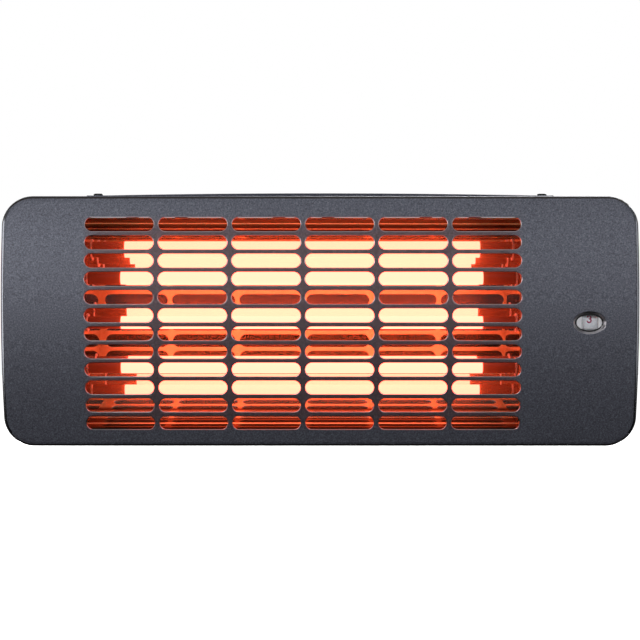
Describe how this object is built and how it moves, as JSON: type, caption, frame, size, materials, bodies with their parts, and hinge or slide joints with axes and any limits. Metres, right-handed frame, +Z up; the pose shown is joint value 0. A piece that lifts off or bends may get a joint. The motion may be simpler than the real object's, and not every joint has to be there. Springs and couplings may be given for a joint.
{
  "type": "electric bar heater",
  "caption": "Wall-mounted electric radiant heater with glowing quartz tubes behind a bowed, slotted steel cover, on a tilting bracket.",
  "frame": {"origin": "centre of the wall bracket's flat face, on the wall", "axes": "+X to the right seen from the front, +Y into the wall, +Z up; the heater faces -Y"},
  "size_m": [0.502, 0.131, 0.2032],
  "materials": {
    "cover_paint": "fine hammered powder coat",
    "shell_paint": "satin",
    "bracket_paint": "satin",
    "polished_aluminium": "polished",
    "end_plate_steel": "bright",
    "quartz": "clear",
    "hot_coil": "glowing",
    "steatite": "matt",
    "zinc_steel": "zinc plated",
    "brass": "plain",
    "black_screws": "black oxide",
    "black_plastic": "fine texture",
    "white_plastic": "satin",
    "drum_plastic": "silver white",
    "clear_lens": "clear",
    "fibre": "vulcanised fibre",
    "brown_sleeve": "silicone sleeve",
    "blue_sleeve": "silicone sleeve",
    "green_sleeve": "silicone sleeve"
  },
  "bodies": {
    "wall_mount": {"wall_bracket": "bracket_paint"},
    "knob_left": {"clamp_knob_left": "black_plastic", "clamp_stud_left": "zinc_steel"},
    "knob_right": {"clamp_knob_right": "black_plastic", "clamp_stud_right": "zinc_steel"},
    "lever": {"pull_lever": "white_plastic"},
    "indicator": {"switch_shaft": "zinc_steel", "indicator_drum": "drum_plastic"},
    "heater": {"hanger_bracket": "bracket_paint", "hanger_rivets": "zinc_steel", "friction_washers": "fibre", "weld_nuts": "zinc_steel", "front_cover": "cover_paint", "cover_screws": "black_screws", "top_strip": "cover_paint", "rear_shell": "shell_paint", "window_lens": "clear_lens", "lens_retainer": "zinc_steel", "reflector": "polished_aluminium", "left_end_plate": "end_plate_steel", "right_end_plate": "end_plate_steel", "end_plate_screws": "zinc_steel", "quartz_tube_top": "quartz", "quartz_tube_middle": "quartz", "quartz_tube_bottom": "quartz", "heating_coil_top": "hot_coil", "heating_coil_middle": "hot_coil", "heating_coil_bottom": "hot_coil", "left_end_caps": "steatite", "right_end_caps": "steatite", "left_terminal_studs": "zinc_steel", "right_terminal_studs": "zinc_steel", "left_terminal_nuts": "brass", "right_terminal_nuts": "brass", "neutral_busbar": "brass", "live_tags": "brass", "live_lead_top": "brown_sleeve", "live_lead_middle": "brown_sleeve", "live_lead_bottom": "brown_sleeve", "neutral_lead": "blue_sleeve", "thermal_cutout": "black_plastic", "switch_body": "white_plastic", "switch_bracket": "zinc_steel", "switch_screw": "zinc_steel", "cord_eyelet": "black_plastic", "terminal_block": "white_plastic", "terminal_block_screws": "zinc_steel", "cable_gland": "black_plastic", "gland_nut": "black_plastic", "cord_clamp": "white_plastic", "cord_clamp_screws": "zinc_steel", "earth_screw": "brass", "earth_lead": "green_sleeve"}
  },
  "joints": [
    {"name": "tilt", "type": "hinge", "parent": "wall_mount", "child": "heater", "pos_m": [0, -0.046, 0], "axis": [1, 0, 0], "range_deg": [0, 40]},
    {"name": "knob_left_turn", "type": "hinge", "parent": "heater", "child": "knob_left", "pos_m": [-0.147, -0.046, 0], "axis": [-1, 0, 0], "range_deg": [0, 180]},
    {"name": "knob_right_turn", "type": "hinge", "parent": "heater", "child": "knob_right", "pos_m": [0.147, -0.046, 0], "axis": [1, 0, 0], "range_deg": [0, 180]},
    {"name": "lever_pull", "type": "hinge", "parent": "heater", "child": "lever", "pos_m": [0.1999, -0.11, 0], "axis": [-1, 0, 0], "range_deg": [0, 28], "stiffness_Nm_per_rad": 0.05, "springref_deg": -5.73},
    {"name": "indicator_turn", "type": "hinge", "parent": "heater", "child": "indicator", "pos_m": [0.2114, -0.11, 0], "axis": [1, 0, 0], "continuous": true}
  ]
}
